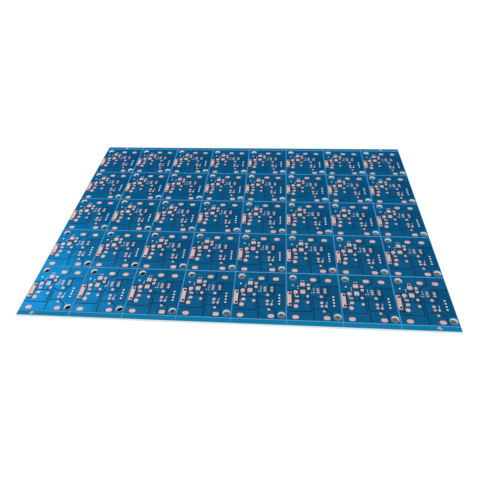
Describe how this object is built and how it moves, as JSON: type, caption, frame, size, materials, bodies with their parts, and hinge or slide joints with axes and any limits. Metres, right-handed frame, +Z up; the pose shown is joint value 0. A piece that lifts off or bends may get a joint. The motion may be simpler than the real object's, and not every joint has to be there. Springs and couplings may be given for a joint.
{
  "type": "circuit board panel",
  "caption": "Bare circuit-board panel: rows of equal preamplifier boards with open copper pads and blue solder mask, scored for snapping apart, between two break-off rails.",
  "frame": {"origin": "middle of the panel's underside", "axes": "+X along the rails, +Y from the front rail to the back rail, +Z up out of the copper side"},
  "size_m": [0.292, 0.2154, 0.0016],
  "materials": {
    "glass_epoxy": "pale glass-epoxy laminate, drilled, scored and routed",
    "bare_copper": "bare etched copper, dull pink",
    "blue_solder_mask": "cured ink film, semi-gloss blue"
  },
  "bodies": {
    "root": {"laminate": "glass_epoxy", "copper_foil": "bare_copper", "solder_mask": "blue_solder_mask"}
  },
  "joints": []
}
